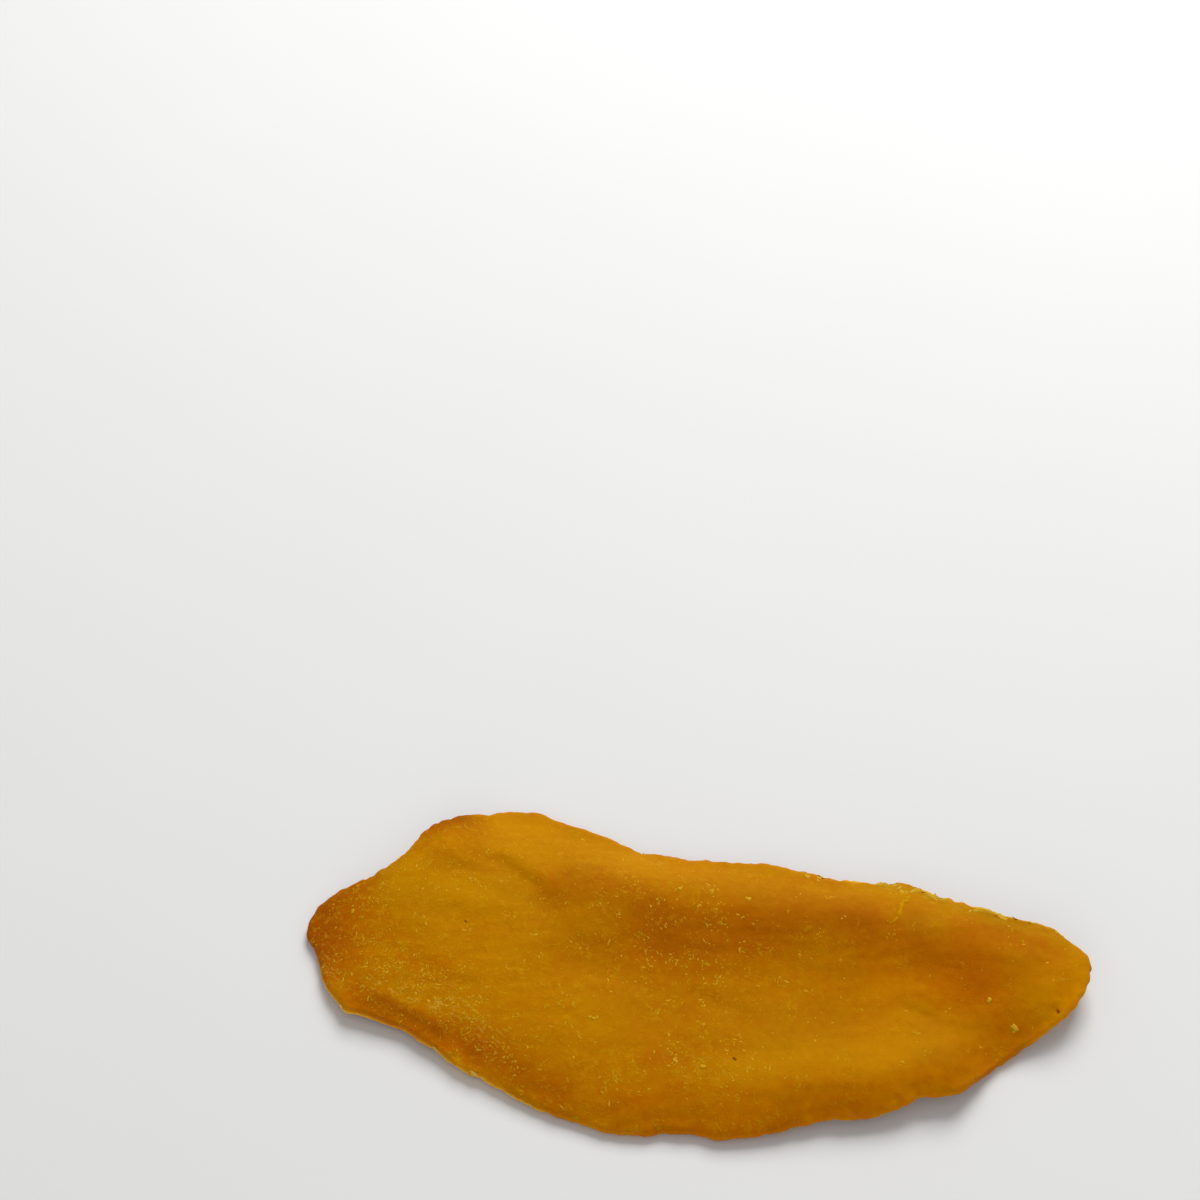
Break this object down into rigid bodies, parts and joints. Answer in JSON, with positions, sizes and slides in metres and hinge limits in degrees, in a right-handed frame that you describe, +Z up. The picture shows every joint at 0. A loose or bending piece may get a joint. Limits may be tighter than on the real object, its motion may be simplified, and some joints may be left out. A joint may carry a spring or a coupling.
{
  "type": "dried mango slice",
  "caption": "Long leaf-shaped slice of dried mango with a blunt end, a pointed tip, soft lengthwise folds and a thin curled edge, lying flat.",
  "frame": {"origin": "middle of the slice's footprint, at the height of the surface it lies on", "axes": "+X along the slice from its blunt end to its pointed tip, +Y across it from the near edge to the far edge, +Z up out of the shown face"},
  "size_m": [0.1254, 0.058, 0.0069],
  "materials": {
    "mango_flesh": "satin amber-gold dried fruit flesh, slightly translucent, with fine pale flecks of fibre and sugar"
  },
  "bodies": {
    "root": {"mango_slice": "mango_flesh"}
  },
  "joints": []
}
